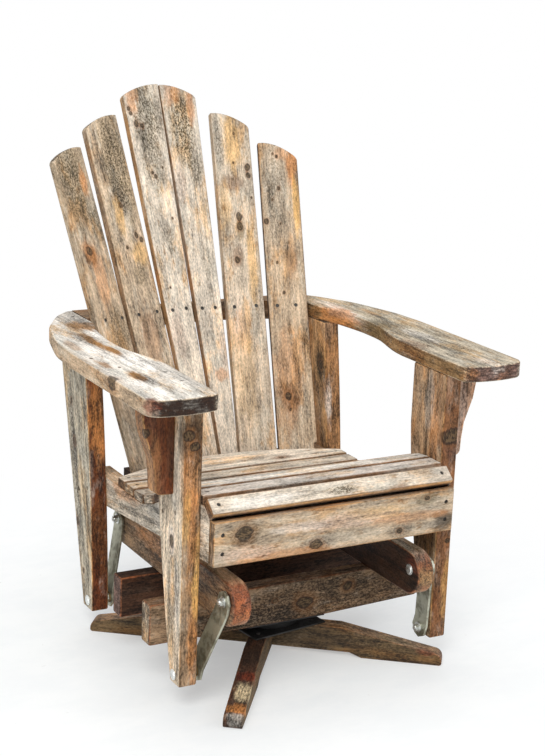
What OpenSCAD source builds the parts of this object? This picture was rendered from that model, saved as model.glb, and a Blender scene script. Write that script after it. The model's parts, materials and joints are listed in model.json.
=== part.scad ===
// Garden glider: a slatted armchair that hangs from four steel links
// on a wooden frame, which turns on a ball-race plate over a cross of feet.
// Millimetres. X is across the chair, Y runs to the back, Z is up.
// Inside the modules Y is measured from the front faces of the front legs.
// Right is +X, as seen from the front.

/* [Lumber] */
// Thickness of the legs, arms, rails and beams
lumber_t = 38; // [36:1:40]
// Width of the beams, the apron and the glider rails
board_w = 89; // [86:1:92]
// Thickness of the seat and back slats
slat_t = 19; // [17:1:21]

/* [Seat] */
// Clear width between the legs, which is the length of a seat slat
seat_w = 534; // [520:1:560]
// Height of the seat at its front
seat_front_z = 436; // [430:1:441]
// Height of the seat at its back
seat_back_z = 351; // [347:1:357]
// Depth of the level stretch at the front of the seat
seat_level_d = 40; // [34:1:46]
// Depth over which the seat falls to its back height
seat_fall_d = 250; // [240:1:260]
// Width of a seat slat
seat_slat_w = 40.5; // [39:0.5:42]
// Distance from one seat slat to the next
seat_pitch = 44.5; // [44:0.5:45]
// Height of the seat rails' underside at the front legs
seat_rail_z = 311; // [307:1:314]
// Fall of the seat rails' underside, degrees
seat_rail_tilt = 5.25; // [5:0.05:5.5]

/* [Back] */
// Lean of the back from upright, degrees
recline = 25.2; // [24:0.2:26.4]
// Place of the middle slats' front at the height from which the back is measured
back_y = 596; // [590:1:600]
// Height from which the back is measured, just under the arms' top
back_z = 644; // [640:1:647]
// Length of the back above that height
back_l = 514; // [500:1:520]
// Radius of the hollow of the back, seen from above
back_r = 614; // [590:1:650]
// Width of the outer four back slats
back_slat_w = 88; // [84:1:90]
// Rounding of the back slats' outer top corners
back_corner_r = 6; // [3:1:10]

/* [Arms and legs] */
// Height of the arms' top
arm_top_z = 647.5; // [643:0.5:653]
// Thickness of the arms
arm_t = 32; // [30:1:36]
// Distance that the arms reach ahead of the front legs
arm_front = 72; // [66:1:78]
// Half of the width over the arms
arm_outer = 408; // [402:1:414]
// Clearance of the front legs from the floor
front_leg_z = 55; // [51:1:59]
// Clearance of the rear legs from the floor
rear_leg_z = 45; // [42:1:50]
// Width of a front leg at its foot
front_leg_foot = 40; // [38:1:42]
// Width of a front leg at its top
front_leg_top = 116; // [112:1:120]
// Width of a rear leg at its foot
rear_leg_foot = 47; // [45:1:50]
// Width of a rear leg at its top
rear_leg_top = 140; // [136:1:142]

/* [Glider frame] */
// Centre-to-centre distance of the upper pivots, front to back
upper_span = 492.6; // [488:0.2:496]
// Height of the upper pivots
upper_pivot_z = 231; // [229:0.5:233]
// Height of the glider rails' top
glider_top_z = 266; // [264:1:268]
// Distance between the glider rails' outer faces
glider_w = 449; // [446:1:452]
// Length of the cross beams
beam_len = 624; // [600:1:640]
// Gap between the cross beams
beam_gap = 112; // [106:1:118]

/* [Links] */
// Lower front pivot: place behind the front legs' faces
lower_front_y = 19.6; // [19:0.1:20.4]
// Lower front pivot: height
lower_front_z = 74; // [73:0.2:75]
// Lower rear pivot: place behind the front legs' faces
lower_rear_y = 438.4; // [438:0.1:441.4]
// Lower rear pivot: height
lower_rear_z = 65; // [64:0.2:66]
// Width of a link
link_w = 44; // [42:1:46]
// Thickness of a link
link_t = 5; // [4.5:0.1:5.5]
// Radius of a pivot bolt
bolt_r = 4.75; // [4.5:0.05:5]
// Running clearance of a bushing on its bolt, on the radius
run_gap = 0.06; // [0.03:0.01:0.09]
// Clearance of the open rear lower pivot, on the radius
open_gap = 2.2; // [2.1:0.1:2.4]

/* [Swivel] */
// Place of the swivel's axis behind the front legs' faces
swivel_y = 212.2; // [210:0.2:214]
// Side of the square swivel plates
plate_side = 178; // [172:1:180]
// Thickness of the swivel plates
plate_t = 3.4; // [3:0.1:4]
// Radius of the ball race
race_r = 58; // [52:1:62]
// Radius of a ball
ball_r = 6; // [5.5:0.1:6.4]
// Turn of the feet against the chair, degrees
feet_turn = 7.6; // [0:0.1:12]

/* [Feet] */
// Distance from the swivel's axis to the tips of the foot beam that points to the front left
foot_reach_a = 390; // [380:1:396]
// Distance from the swivel's axis to the tips of the other foot beam
foot_reach_b = 372; // [362:1:378]
// Height of the feet at the middle
foot_top_z = 64; // [62:1:65]
// Height of the feet where the tips' rounding begins
foot_tip_z = 25; // [23:1:30]
// Radius of the level stretch under the swivel plate
foot_level_r = 158; // [150:1:164]
// Height of the arch under the feet
arch_h = 10; // [7:1:13]

/* [Hidden] */
$fn = 48;
touch = 0.05;

// Widths and heights that follow from the driving ones
seat_half = seat_w / 2;
leg_outer = seat_half + lumber_t;
arm_under_z = arm_top_z - arm_t;
arm_inner = seat_half - 1;
rail_in = seat_half - lumber_t;
seat_slats = 8;
slat_first_y = -6;
seat_fall = seat_front_z - seat_back_z;
seat_slope_end = slat_first_y + seat_slats * seat_pitch;
apron_h = board_w;
apron_t = slat_t;
apron_y = -55;
apron_top_z = 398.6;
glider_out = glider_w / 2;
glider_in = glider_out - lumber_t;
glider_low_z = glider_top_z - board_w;
beam_low_z = glider_low_z - board_w + 3;
beam_top_z = glider_low_z;
upper_front_y = swivel_y - upper_span / 2;
upper_rear_y = swivel_y + upper_span / 2;
foot_w = lumber_t;
hub_r = 9;
slat_screw_l = 42;
leg_screw_l = 50;
apron_screw_l = 50;
arm_screw_l = 70;
back_screw_l = 32;
plate_screw_l = 36;
frame_screw_l = 100;
frame_screw_sink = 30;

// Middle of the whole outline from front to back, which becomes the origin
foot_dir = feet_turn + 225;
front_most = swivel_y + foot_reach_a * sin(foot_dir) + foot_w / 2 * cos(foot_dir);
back_most = back_y + back_l * sin(recline) + slat_t * cos(recline);
mid_y = (front_most + back_most) / 2;

// Colours
weathered = "#b9a58c";
cedar = "#a87a4e";
bleached = "#cfc6b6";
old_brown = "#6b4630";
dark_brown = "#4a3226";
zinc = "#a9ab9c";
black_steel = "#2b2a29";
bronze = "#8a6a3c";

module place() translate([0, -mid_y, 0]) children();

// Draws the right-hand piece, or its mirror image on the left
module on_side(side) {
  if (side > 0) children();
  else mirror([1, 0, 0]) children();
}

module both_sides() {
  children();
  mirror([1, 0, 0]) children();
}

// Stands a profile drawn in Y and Z up at x, and gives it the thickness t
module side_board(x, t) translate([x, 0, 0]) rotate([90, 0, 90]) linear_extrude(t) children();

function arc(c, r, a0, a1, n = 6) =
  [for (i = [0:n]) let (a = a0 + (a1 - a0) * i / n) c + r * [cos(a), sin(a)]];

// Wood screw with its head at the origin and its point along -Z
module screw(len, r = 2.1, head_r = 4.2) {
  translate([0, 0, -len]) cylinder(h = len - 2, r = r, $fn = 20);
  translate([0, 0, -2]) cylinder(h = 2, r = head_r, $fn = 20);
}

// Room for that screw: the shank, and a pocket that leaves the head sunk
module screw_room(len, sink = 2.5, r = 2.1, head_r = 4.2) {
  translate([0, 0, -len - 1]) cylinder(h = len + 1, r = r + touch, $fn = 20);
  translate([0, 0, -2]) cylinder(h = 2 + sink + 5, r = head_r + touch, $fn = 20);
}

// Feet: two crossed beams, halved into each other at the middle
arch_end = 206;
arch_start = 180;
function foot_half(reach) = concat(
  [[foot_level_r, foot_top_z]],
  arc([reach - 18, foot_tip_z - 17], 18, 77, 0, 6),
  arc([reach - 5, 5], 5, 0, -90, 3),
  [[arch_end, 0], [arch_start, arch_h]]);

module foot_profile(half) polygon(concat(
  half,
  [for (i = [len(half) - 1:-1:0]) [-half[i].x, half[i].y]]));

module foot_beam(turn, reach, notch_z, notch_h) {
  color(dark_brown) place() translate([0, swivel_y, 0]) rotate([0, 0, feet_turn + turn])
    difference() {
      translate([0, foot_w / 2, 0]) rotate([90, 0, 0]) linear_extrude(foot_w) foot_profile(foot_half(reach));
      translate([-foot_w / 2, -foot_w, notch_z]) cube([foot_w, 2 * foot_w, notch_h]);
      translate([0, 0, foot_top_z - 20]) cylinder(h = 30, r = hub_r + 1);
      rotate([0, 0, -turn]) base_screw_places() translate([0, 0, plate_t]) screw_room(plate_screw_l - 2, 0);
    }
}

lap_z = (foot_top_z + arch_h) / 2;
module foot_beam_a() foot_beam(45, foot_reach_a, 0, lap_z);
module foot_beam_b() foot_beam(-45, foot_reach_b, lap_z, foot_top_z);

// The plate's corner holes lie over the feet
screw_r = plate_side / 2 * sqrt(2) - 28;
module base_screw_places()
  for (a = [45:90:315]) rotate([0, 0, a]) translate([screw_r, 0, foot_top_z]) children();

module base_screws() color(zinc) place() translate([0, swivel_y, 0]) rotate([0, 0, feet_turn])
  base_screw_places() translate([0, 0, plate_t + 2]) screw(plate_screw_l);

// Swivel: two square plates with a ball race pressed into each
lower_plate_z = foot_top_z + plate_t;
upper_plate_z = beam_low_z - plate_t;
ball_z = (lower_plate_z + upper_plate_z) / 2;
ball_n = 24;

module plate(z) translate([-plate_side / 2, -plate_side / 2, z]) cube([plate_side, plate_side, plate_t]);

// Ring with a round groove for the balls, from the plate at z up by h
module race(z, h) difference() {
  translate([0, 0, z]) cylinder(h = h, r = race_r + 11, $fn = 96);
  translate([0, 0, z - 1]) cylinder(h = h + 2, r = race_r - 11, $fn = 96);
  rotate_extrude($fn = 96) translate([race_r, ball_z]) circle(r = ball_r + 0.05);
}

race_h = ball_z - lower_plate_z - 1;

module swivel_lower_plate() color(black_steel) place() translate([0, swivel_y, 0])
  rotate([0, 0, feet_turn]) difference() {
    union() {
      plate(foot_top_z);
      race(lower_plate_z, race_h);
    }
    translate([0, 0, foot_top_z - 1]) cylinder(h = plate_t + 2, r = hub_r);
    base_screw_places() translate([0, 0, -1]) cylinder(h = plate_t + 2, r = 2.3, $fn = 20);
  }

module swivel_balls() color(zinc) place() translate([0, swivel_y, 0])
  for (i = [0:ball_n - 1]) rotate([0, 0, i * 360 / ball_n]) translate([race_r, 0, ball_z])
    sphere(r = ball_r, $fn = 24);

// Hollow rivet that holds the two plates together
module swivel_hub() color(zinc) place() translate([0, swivel_y, 0]) difference() {
  union() {
    translate([0, 0, foot_top_z - 3]) cylinder(h = 3, r = hub_r + 0.9);
    translate([0, 0, foot_top_z - 3]) cylinder(h = beam_low_z - foot_top_z + 3.4, r = hub_r);
    translate([0, 0, beam_low_z + 0.4]) cylinder(h = 2.4, r = hub_r + 5);
  }
  translate([0, 0, foot_top_z - 4]) cylinder(h = 60, r = hub_r - 3);
}

module plate_screw_places() for (x = [-1, 1], y = [-1, 1])
  translate([x * (plate_side / 2 - 14), y * (beam_gap / 2 + 15), upper_plate_z]) children();

module swivel_upper_plate() color(black_steel) place() translate([0, swivel_y, 0]) difference() {
  union() {
    plate(upper_plate_z);
    race(upper_plate_z - race_h, race_h);
  }
  translate([0, 0, upper_plate_z - 1]) cylinder(h = plate_t + 2, r = hub_r + run_gap);
  plate_screw_places() translate([0, 0, -1]) cylinder(h = plate_t + 2, r = 2.3, $fn = 20);
}

module plate_screws() color(zinc) place() translate([0, swivel_y, 0])
  plate_screw_places() mirror([0, 0, 1]) translate([0, 0, 2]) screw(plate_screw_l);

// Glider frame: two cross beams under two side rails with round noses
beam_y = [swivel_y - beam_gap / 2 + 18 - lumber_t - 18, swivel_y + beam_gap / 2];
rail_mid_x = (glider_in + glider_out) / 2;

// The front beam is planed up towards its right end, and the rear one is a little shorter
beam_lens = [beam_len, beam_len - 10];
beam_rise = [7.5, 0];
module cross_beam_profile(i) {
  h = beam_lens[i] / 2;
  polygon([[-h, beam_low_z], [plate_side / 2 + 4, beam_low_z], [h, beam_low_z + beam_rise[i]],
    [h, beam_top_z], [-h, beam_top_z]]);
}

module frame_screw_places(i) for (x = [-1, 1], y = [10, lumber_t - 10])
  translate([x * rail_mid_x, beam_y[i] + y, beam_low_z]) children();

// The screws' heads sit deep in their holes under the beams
module frame_screw_seats(i) frame_screw_places(i) mirror([0, 0, 1])
  translate([0, 0, -frame_screw_sink]) children();

module cross_beam(i) color(i == 0 ? old_brown : "#7a4c33") place() difference() {
  translate([0, beam_y[i] + lumber_t, 0]) rotate([90, 0, 0]) linear_extrude(lumber_t) cross_beam_profile(i);
  frame_screw_seats(i) screw_room(frame_screw_l, frame_screw_sink);
  translate([0, swivel_y, 0]) plate_screw_places() mirror([0, 0, 1]) screw_room(plate_screw_l, 0);
}

module cross_beam_front() cross_beam(0);
module cross_beam_rear() cross_beam(1);

module frame_screws() color(zinc) place() for (i = [0, 1])
  frame_screw_seats(i) screw(frame_screw_l);

module side_rail_profile() {
  r = board_w / 2;
  z = glider_low_z + r;
  translate([upper_front_y - 32 + r, glider_low_z]) square([upper_span + 64 - 2 * r, board_w]);
  for (y = [upper_front_y - 32 + r, upper_rear_y + 32 - r]) translate([y, z]) circle(r = r, $fn = 96);
}

module pivot_holes(x, h, pts, r) for (p = pts)
  translate([x, p[0], p[1]]) rotate([0, 90, 0]) cylinder(h = h, r = r);

upper_pts = [[upper_front_y, upper_pivot_z], [upper_rear_y, upper_pivot_z]];
lower_pts = [[lower_front_y, lower_front_z], [lower_rear_y, lower_rear_z]];

module side_rail(side) color(old_brown) place() on_side(side) difference() {
  side_board(glider_in, lumber_t) side_rail_profile();
  pivot_holes(glider_in - 1, lumber_t + 2, upper_pts, bolt_r + touch);
  for (i = [0, 1]) frame_screw_seats(i) screw_room(frame_screw_l);
}

module side_rail_left() side_rail(-1);
module side_rail_right() side_rail(1);

// Carriage bolt along X with the underside of its head at the origin
module carriage_bolt(len) rotate([0, 90, 0]) {
  cylinder(h = len, r = bolt_r);
  translate([0, 0, -2.5]) cylinder(h = 2.5, r = 11);
  translate([0, 0, -4]) cylinder(h = 1.5, r = 8);
}

// Flanged nut along X from the origin outwards, on its bolt
module pivot_nut(h = 9) rotate([0, 90, 0]) difference() {
  union() {
    cylinder(h = 1.6, r = 11);
    translate([0, 0, 1.6]) cylinder(h = h - 1.6, r = 8.2, $fn = 6);
  }
  translate([0, 0, -1]) cylinder(h = 12, r = bolt_r);
}

flange_t = 2.5;
nut_gap = 0.2;
strap_upper_x = glider_out + flange_t;
nut_upper_x = strap_upper_x + link_t + nut_gap;
strap_lower_x = seat_half - 8 - link_t;
nut_lower_x = strap_lower_x - nut_gap;

// Upper nuts and bolt ends stay clear of the legs
leg_clear = 1;
upper_nut_h = min(9, seat_half - leg_clear - nut_upper_x);
upper_bolt_l = min(nut_upper_x + 11, seat_half - leg_clear) - glider_in;

module upper_pivot_bolts() color(zinc) place() both_sides() for (p = upper_pts)
  translate([glider_in, p[0], p[1]]) carriage_bolt(upper_bolt_l);

module upper_pivot_nuts() color(zinc) place() both_sides() for (p = upper_pts)
  translate([nut_upper_x, p[0], p[1]]) pivot_nut(upper_nut_h);

// Links: flat straps with clipped ends and a double bend between the eyes
link_end = 20;
flat_l = 17;
eye_r = 8;

function link_len(lower, upper) = norm(upper - lower);
function link_lean(lower, upper) = atan2(lower[0] - upper[0], upper[1] - lower[1]);

module strap_side(len) {
  shift = strap_lower_x - strap_upper_x;
  polygon([
    [0, link_end], [0, -flat_l], [shift, -len + flat_l], [shift, -len - link_end],
    [shift + link_t, -len - link_end], [shift + link_t, -len + flat_l],
    [link_t, -flat_l], [link_t, link_end]]);
}

module strap_front(len) {
  c = 14;
  h = link_w / 2;
  polygon([
    [-h, link_end - c], [-h + c, link_end], [h - c, link_end], [h, link_end - c],
    [h, -len - link_end + c], [h - c, -len - link_end], [-h + c, -len - link_end],
    [-h, -len - link_end + c]]);
}

// The strap hangs from the upper pivot, with the lower pivot len below it
module strap(len) difference() {
  intersection() {
    translate([strap_upper_x, link_w / 2, 0]) rotate([90, 0, 0]) linear_extrude(link_w) strap_side(len);
    rotate([90, 0, 90]) linear_extrude(seat_half) strap_front(len);
  }
  translate([strap_upper_x - 1, 0, 0]) rotate([0, 90, 0]) cylinder(h = link_t + 2, r = eye_r);
  translate([strap_lower_x - 1, 0, -len]) rotate([0, 90, 0]) cylinder(h = link_t + 2, r = eye_r);
}

module hang(i) {
  lower = lower_pts[i];
  upper = upper_pts[i];
  translate([0, upper[0], upper[1]]) rotate([link_lean(lower, upper), 0, 0]) children();
}

module link(side, i) color(zinc) place() on_side(side) hang(i)
  strap(link_len(lower_pts[i], upper_pts[i]));

module front_link_left() link(-1, 0);
module front_link_right() link(1, 0);
module rear_link_left() link(-1, 1);
module rear_link_right() link(1, 1);

// Bushing along X: a flange of thickness f ahead of a sleeve through the strap
module bushing(f, bore_r) rotate([0, 90, 0]) difference() {
  union() {
    translate([0, 0, -f]) cylinder(h = f, r = eye_r + 4);
    cylinder(h = link_t, r = eye_r);
  }
  translate([0, 0, -f - 1]) cylinder(h = link_t + f + 2, r = bore_r);
}

module link_bushings(i, lower_bore) color(bronze) place() both_sides() hang(i) {
  len = link_len(lower_pts[i], upper_pts[i]);
  translate([strap_upper_x, 0, 0]) bushing(flange_t - 0.2, bolt_r + run_gap);
  translate([strap_lower_x + link_t, 0, -len]) mirror([1, 0, 0]) bushing(flange_t, lower_bore);
}

module front_link_bushings() link_bushings(0, bolt_r + run_gap);
module rear_link_bushings() link_bushings(1, bolt_r + open_gap);

spacer_t = 8 - flange_t - 0.2;
module lower_pivot_bolts() color(zinc) place() both_sides() for (p = lower_pts)
  translate([leg_outer, p[0], p[1]]) mirror([1, 0, 0]) carriage_bolt(leg_outer - nut_lower_x + 11);

module lower_pivot_nuts() color(zinc) place() both_sides() for (p = lower_pts)
  translate([nut_lower_x, p[0], p[1]]) mirror([1, 0, 0]) pivot_nut();

module lower_pivot_spacers() color(bronze) place() both_sides() for (p = lower_pts)
  translate([seat_half, p[0], p[1]]) rotate([0, -90, 0]) difference() {
    cylinder(h = spacer_t, r = 11);
    translate([0, 0, -1]) cylinder(h = spacer_t + 2, r = bolt_r);
  }

// Legs: the front one flares in a slow curve, the rear one in straight lines
leg_curve_z = 489;
function flare(t) = (t + sin(90 * t)) / 2;

module front_leg_profile() polygon(concat(
  [[0, arm_under_z], [-4, front_leg_z]],
  [for (i = [0:10]) let (t = i / 10)
    [-4 + front_leg_foot + (front_leg_top + 4 - front_leg_foot) * flare(t),
     front_leg_z + (leg_curve_z - front_leg_z) * t]],
  [[front_leg_top, arm_under_z]]));

rear_leg_y = 418.5;
module rear_leg_profile() polygon(concat(
  [for (i = [0:8]) let (t = i / 8)
    [rear_leg_y + 59 * pow(t, 1.6), rear_leg_z + (arm_under_z - rear_leg_z) * t]],
  [[rear_leg_y + 59 + rear_leg_top, arm_under_z], [rear_leg_y + rear_leg_foot, rear_leg_z]]));

// Screws through the legs into the seat rails
leg_screw_pts = [[31, 397], [86, 382], [452, 311], [496, 295]];
module leg_screw_places() for (p = leg_screw_pts)
  translate([leg_outer - 3, p[0], p[1]]) rotate([0, 90, 0]) children();

module leg_screws() color(zinc) place() both_sides() leg_screw_places() screw(leg_screw_l);

// Screws down through the arms
leg_mid = seat_half + lumber_t / 2;
arm_screw_pts = [[leg_mid + 8, 40], [leg_mid + 10, 108], [leg_outer + 46, 68],
  [leg_mid, 520], [leg_mid, 585]];
module arm_screw_places() for (p = arm_screw_pts)
  translate([p[0], p[1], arm_top_z - 2.5]) children();

module arm_screws() color(zinc) place() both_sides() arm_screw_places() screw(arm_screw_l);

module leg(side, pivot, shade) color(shade) place() on_side(side) difference() {
  side_board(seat_half, lumber_t) children();
  pivot_holes(seat_half - 1, lumber_t + 2, [lower_pts[pivot]], bolt_r + touch);
  leg_screw_places() screw_room(leg_screw_l);
  arm_screw_places() screw_room(arm_screw_l);
}

module front_leg_left() leg(-1, 0, "#a59a8c") front_leg_profile();
module front_leg_right() leg(1, 0, cedar) front_leg_profile();
module rear_leg_left() leg(-1, 1, "#a59a8c") rear_leg_profile();
module rear_leg_right() leg(1, 1, cedar) rear_leg_profile();

// Brackets under the arms, outside the front legs
bracket_y = 39;
module bracket_profile() polygon(concat(
  [[leg_outer, arm_under_z], [leg_outer, 429]],
  [[leg_outer + 24, 430.5]],
  arc([leg_outer + 26, 442.5], 12, -90, 0, 4),
  [[leg_outer + 39, 466], [leg_outer + 43, 499], [leg_outer + 51, 521], [leg_outer + 61, 549],
   [leg_outer + 66, 579], [leg_outer + 67, arm_under_z]]));

module bracket(side) color("#8f5a3c") place() on_side(side) difference() {
  translate([0, bracket_y + lumber_t, 0]) rotate([90, 0, 0]) linear_extrude(lumber_t) bracket_profile();
  arm_screw_places() screw_room(arm_screw_l);
}

module bracket_left() bracket(-1);
module bracket_right() bracket(1);

// Seat: each slat lies along the seat's curve
function seat_t(y) = min(max((y - seat_level_d) / seat_fall_d, 0), 1);
function seat_z(y) = seat_back_z + seat_fall * (1 + cos(180 * seat_t(y))) / 2;
function seat_slope(y) = (seat_z(y + 1) - seat_z(y - 1)) / 2;
function slat_y(i) = slat_first_y + seat_slat_w / 2 + (i - 1) * seat_pitch;
function slat_tilt(i) = atan(seat_slope(slat_y(i)));

module on_slat(i) translate([0, slat_y(i), seat_z(slat_y(i))]) rotate([slat_tilt(i), 0, 0]) children();

seat_screw_x = seat_half - 19;
module seat_screw_pair() for (x = [-1, 1]) translate([x * seat_screw_x, 0, -2.5]) children();

module seat_slat(i) color(i < 4 ? bleached : weathered) place() on_slat(i) difference() {
  translate([-seat_half, -seat_slat_w / 2, -slat_t]) cube([seat_w, seat_slat_w, slat_t]);
  seat_screw_pair() screw_room(slat_screw_l);
}

module seat_slat_1() seat_slat(1);
module seat_slat_2() seat_slat(2);
module seat_slat_3() seat_slat(3);
module seat_slat_4() seat_slat(4);
module seat_slat_5() seat_slat(5);
module seat_slat_6() seat_slat(6);
module seat_slat_7() seat_slat(7);
module seat_slat_8() seat_slat(8);

// Nose slat: tipped over the apron's front edge
nose_tilt = 40.6;
module on_nose() translate([0, -22, seat_front_z + 1]) rotate([nose_tilt, 0, 0]) children();
module nose_screws() translate([0, -16, 0]) seat_screw_pair() children();

module nose_slat() color(bleached) place() on_nose() difference() {
  translate([-seat_half, -seat_slat_w + 4, -slat_t]) cube([seat_w, seat_slat_w - 4, slat_t]);
  nose_screws() screw_room(slat_screw_l);
}

// Rear seat slat: its back edge follows the hollow of the back
rear_slat_z = seat_back_z + 1;
function back_front_y(x, z) = back_y - x * x / (2 * back_r) / cos(recline) + (z - back_z) * tan(recline);

module rear_seat_slat() color(weathered) place() difference() {
  translate([0, 0, rear_slat_z - slat_t]) linear_extrude(slat_t) polygon(concat(
    [[-seat_half, seat_slope_end + 1], [seat_half, seat_slope_end + 1]],
    [for (i = [10:-1:-10]) let (x = seat_half * i / 10) [x, back_front_y(x, rear_slat_z - slat_t) - 4]]));
  rear_slat_screws() screw_room(slat_screw_l);
}

module rear_slat_screws() for (x = [-1, 1])
  translate([x * seat_screw_x, seat_slope_end + 20, rear_slat_z - 2.5]) children();

module seat_screws() color(zinc) place() {
  for (i = [1:seat_slats]) on_slat(i) seat_screw_pair() screw(slat_screw_l);
  rear_slat_screws() screw(slat_screw_l);
  on_nose() nose_screws() screw(slat_screw_l);
}

// Apron across the front
module apron() color("#a98f80") place() difference() {
  translate([-seat_half, apron_y, apron_top_z - apron_h]) cube([seat_w, apron_t, apron_h]);
  apron_screw_places() screw_room(apron_screw_l);
  on_nose() nose_screws() screw_room(slat_screw_l);
}

module apron_screw_places() for (x = [-1, 1], z = [26, apron_h - 26])
  translate([x * (seat_half - 19), apron_y + 2.5, apron_top_z - z]) rotate([90, 0, 0]) children();

module apron_screws() color(zinc) place() apron_screw_places() screw(apron_screw_l);

// Seat rails: the top follows the undersides of the slats
function slat_under(i, side) = let (s = slat_tilt(i), y = slat_y(i))
  [y, seat_z(y)] + slat_t * [sin(s), -cos(s)] + side * seat_slat_w / 2 * [cos(s), sin(s)];
function rail_under(y) = seat_rail_z - y * tan(seat_rail_tilt);
nose_under = [-22, seat_front_z + 1] + slat_t * [sin(nose_tilt), -cos(nose_tilt)];
rail_top_z = rear_slat_z - slat_t;
rail_end_y = 530;
rail_front_y = apron_y + apron_t;

// The nose slat lies on the rails' sloping front ends
slope_top = slat_under(1, -1);
slope_y = nose_under.x + (slope_top.y - nose_under.y) / tan(nose_tilt);
module seat_rail_profile() polygon(concat(
  [[rail_front_y, rail_under(rail_front_y)],
   [rail_front_y, nose_under.y - (nose_under.x - rail_front_y) * tan(nose_tilt)],
   [slope_y, slope_top.y]],
  [for (i = [1:seat_slats], side = [-1, 1]) slat_under(i, side)],
  [[seat_slope_end + 1, rail_top_z], [rail_end_y - 20, rail_top_z], [rail_end_y, rail_top_z - 24],
   [rail_end_y, rail_under(rail_end_y)]]));

module seat_rail(side) color(cedar) place() on_side(side) difference() {
  side_board(rail_in, lumber_t) seat_rail_profile();
  leg_screw_places() screw_room(leg_screw_l);
  for (i = [1:seat_slats]) on_slat(i) seat_screw_pair() screw_room(slat_screw_l);
  rear_slat_screws() screw_room(slat_screw_l);
  on_nose() nose_screws() screw_room(slat_screw_l);
  apron_screw_places() screw_room(apron_screw_l);
}

module seat_rail_left() seat_rail(-1);
module seat_rail_right() seat_rail(1);

// Back: six straight slats set round a hollow and fanned outwards. Each row holds the slat's place across,
// its left and right edges at the foot, the same edges at back_z, their slopes above it, the slat's length
// above back_z, the fall of its rounded top, and its upper screws. Widths follow the width of the seat.
across = seat_w / 534;
back_half = back_slat_w / 2;
back_rows = [
  [-212.4, [5, 83], [-back_half, back_half], [-0.14, -0.14],
    back_l - 153.5, 37, [[-14.7, -20.7], [33.9, -15.1]]],
  [-118.9, [-14, 72], [-back_half, back_half], [-0.084, -0.084],
    back_l - 73, 35, [[-17.6, -9.2], [31.3, -3.6]]],
  [-34, [-11, 38], [-31.6, 34.5], [-0.041, 0.0138],
    back_l + 1, 28, [[-15.1, -2.3], [18.9, -0.2]]],
  [34, [-25, 16], [-25.5, 36.7], [0, 0.045],
    back_l - 1, 30, [[-10.5, -3], [20.5, -4]]],
  [124.5, [-72, 13.7], [-back_half, back_half], [0.085, 0.085],
    back_l - 73, 39, [[-25.8, -7.2], [24.6, -10.1]]],
  [218.5, [-80, 8], [-back_half, back_half], [0.103, 0.103],
    back_l - 154, 46, [[-25.4, -16], [16, -20.9]]]];
slat_foot_z = 319;
function row_x(row) = row[0] * across;
function back_depth(x) = -x * x / (2 * back_r);
function back_turn(x) = -asin(x / back_r);
function along(z) = (z - back_z) / cos(recline);
foot_s = along(slat_foot_z);

// The outer corner of the last slat's foot is notched round the seat rail
notch_w = 7.5;
notch_s = along(342);

// Left (0) or right (1) edge of a slat at the length s above back_z
function slat_edge(row, k, s) = across * (s > 0 ? row[2][k] + row[3][k] * s :
  row[2][k] + (row[1][k] - row[2][k]) * s / foot_s);

module on_back() translate([0, back_y, back_z]) rotate([-recline, 0, 0]) children();
module on_back_slat(row) on_back() translate([row_x(row), back_depth(row_x(row)), 0])
  rotate([0, 0, back_turn(row_x(row))]) children();

// Drop of a round of radius r at the distance e from the edge
function round_off(e, r) = e < r ? r - sqrt(max(r * r - pow(r - e, 2), 0)) : 0;

// The top falls in a curve from the inner corner to the outer one
top_steps = [0, 0.15, 0.3, 0.45, 0.6, 0.72, 0.82, 0.9, 0.95, 0.98, 0.995, 1];
function slat_top(row) =
  let (out = row[0] < 0 ? 0 : 1,
       inner = slat_edge(row, 1 - out, row[4]),
       edge = slat_edge(row, out, row[4] - row[5] - back_corner_r))
  [for (t = top_steps) [inner + (edge - inner) * t,
    row[4] - row[5] * t * t - round_off((1 - t) * abs(edge - inner), back_corner_r)]];

function backwards(v) = [for (i = [len(v) - 1:-1:0]) v[i]];

module back_slat_face(row) polygon(concat(
  [[slat_edge(row, 0, 0), 0], [slat_edge(row, 0, foot_s), foot_s]],
  row == back_rows[5] ?
    [[slat_edge(row, 1, foot_s) - notch_w, foot_s], [slat_edge(row, 1, notch_s) - notch_w, notch_s],
     [slat_edge(row, 1, notch_s), notch_s]] :
    [[slat_edge(row, 1, foot_s), foot_s]],
  [[slat_edge(row, 1, 0), 0]],
  row[0] < 0 ? slat_top(row) : backwards(slat_top(row))));

module in_slat_plane(depth) rotate([90, 0, 0]) translate([0, 0, -slat_t]) linear_extrude(depth) children();

// Screws: the upper pair as measured, and a pair at the foot
lower_screw_s = along(327);
module row_screws(row) {
  foot_mid = (row[1][0] + row[1][1]) / 2;
  low = (row[1][1] - row[1][0]) / 4;
  for (p = concat(row[6], [for (k = [-1, 1]) [foot_mid + k * low, lower_screw_s]]))
    translate([p[0] * across, 2.5, p[1]]) rotate([90, 0, 0]) children();
}

module back_slat(i) color(weathered) place() on_back_slat(back_rows[i]) difference() {
  in_slat_plane(slat_t) back_slat_face(back_rows[i]);
  row_screws(back_rows[i]) screw_room(back_screw_l);
}

module back_slat_1() back_slat(0);
module back_slat_2() back_slat(1);
module back_slat_3() back_slat(2);
module back_slat_4() back_slat(3);
module back_slat_5() back_slat(4);
module back_slat_6() back_slat(5);

module back_screws() color(zinc) place() for (row = back_rows)
  on_back_slat(row) row_screws(row) screw(back_screw_l);

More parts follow.
